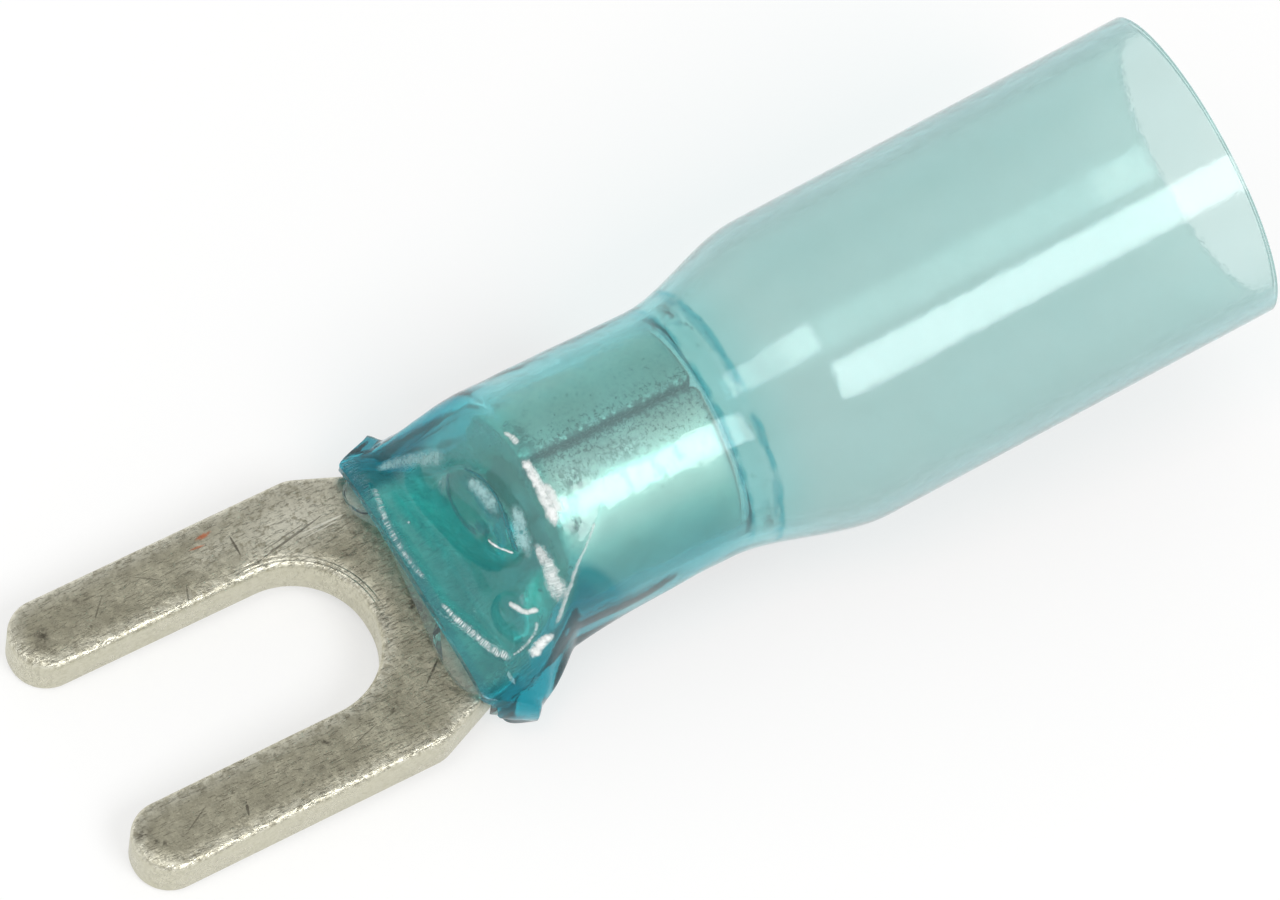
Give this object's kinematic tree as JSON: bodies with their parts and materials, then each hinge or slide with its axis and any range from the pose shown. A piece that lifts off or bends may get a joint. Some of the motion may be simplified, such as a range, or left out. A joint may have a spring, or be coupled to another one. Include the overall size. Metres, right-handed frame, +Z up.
{
  "type": "fork terminal",
  "caption": "Insulated crimp fork terminal: an open-ended tinned fork on a rolled barrel, inside a translucent blue heat-shrink sleeve with a melted clear adhesive lining.",
  "frame": {"origin": "centre of the bounding box, at the surface the terminal lies on", "axes": "+X along the terminal from the open fork to the wire mouth, +Z up, away from the surface it lies on"},
  "size_m": [0.0244, 0.0066, 0.0076],
  "materials": {
    "tinned_copper": "satin tin plating",
    "blue_sleeve": "glossy, translucent",
    "clear_adhesive": "glossy, clear"
  },
  "bodies": {
    "root": {"fork_terminal": "tinned_copper", "heat_shrink_sleeve": "blue_sleeve", "adhesive_lining": "clear_adhesive"}
  },
  "joints": []
}
